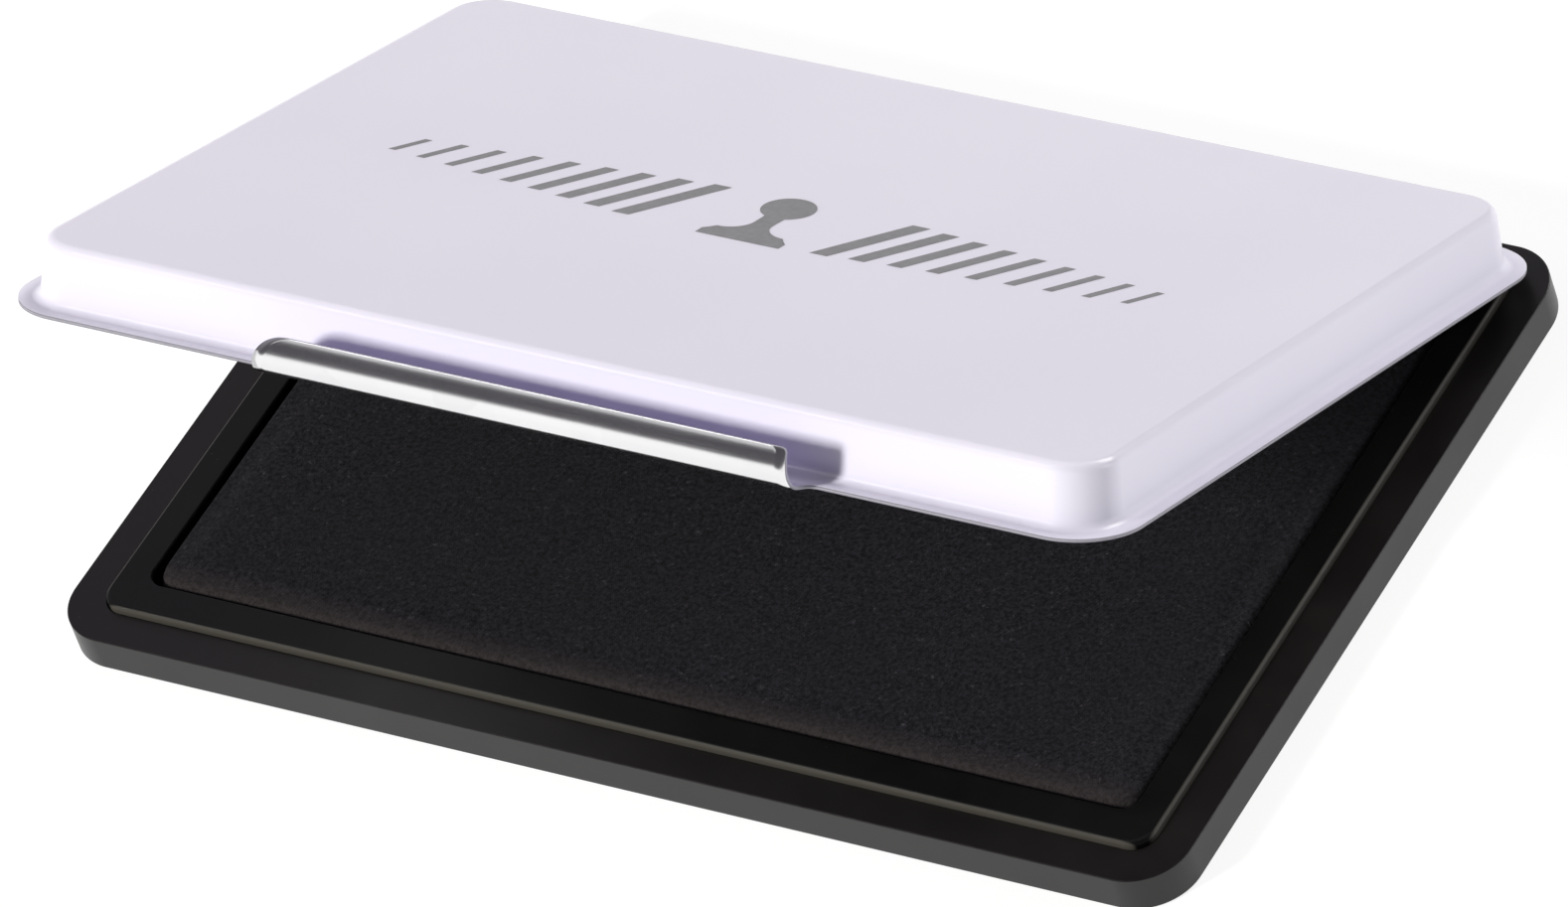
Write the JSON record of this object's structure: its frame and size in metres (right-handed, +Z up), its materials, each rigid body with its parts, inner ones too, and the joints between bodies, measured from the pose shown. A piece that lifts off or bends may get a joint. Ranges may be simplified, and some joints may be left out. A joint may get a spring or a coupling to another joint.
{
  "type": "ink pad",
  "caption": "Desk ink pad: black moulded tray with a framed, cloth-covered felt pad under a hinged pressed-metal lid with a curled finger lip.",
  "frame": {"origin": "centre of the tray's flat underside, on the surface that the pad stands on", "axes": "+X to the right along the long front edge, -Y towards the front where the finger lip is, +Z up"},
  "size_m": [0.124, 0.0843, 0.0452],
  "materials": {
    "tray_plastic": "injection-moulded black polystyrene, glossy with a fine mould texture",
    "frame_plastic": "injection-moulded black polystyrene, slightly softer gloss than the tray",
    "board": "stiff grey board",
    "inked_felt": "dense wool felt soaked in black ink",
    "inked_cloth": "fine plain-woven cotton, damp with black ink",
    "pin_steel": "bright drawn wire",
    "lid_paint": "tinplate, pale lavender stoving enamel outside, bare inside and on the outer face of the finger lip"
  },
  "bodies": {
    "tray": {"base_tray": "tray_plastic", "pad_frame": "frame_plastic", "backing_board": "board", "felt_pad": "inked_felt", "pad_cloth": "inked_cloth", "hinge_pin_left": "pin_steel", "hinge_pin_right": "pin_steel"},
    "lid": {"lid_shell": "lid_paint"}
  },
  "joints": [
    {"name": "lid_hinge", "type": "hinge", "parent": "tray", "child": "lid", "pos_m": [0, 0.0413, 0.00537], "axis": [-1, 0, 0], "range_deg": [-25.5, 154]}
  ]
}
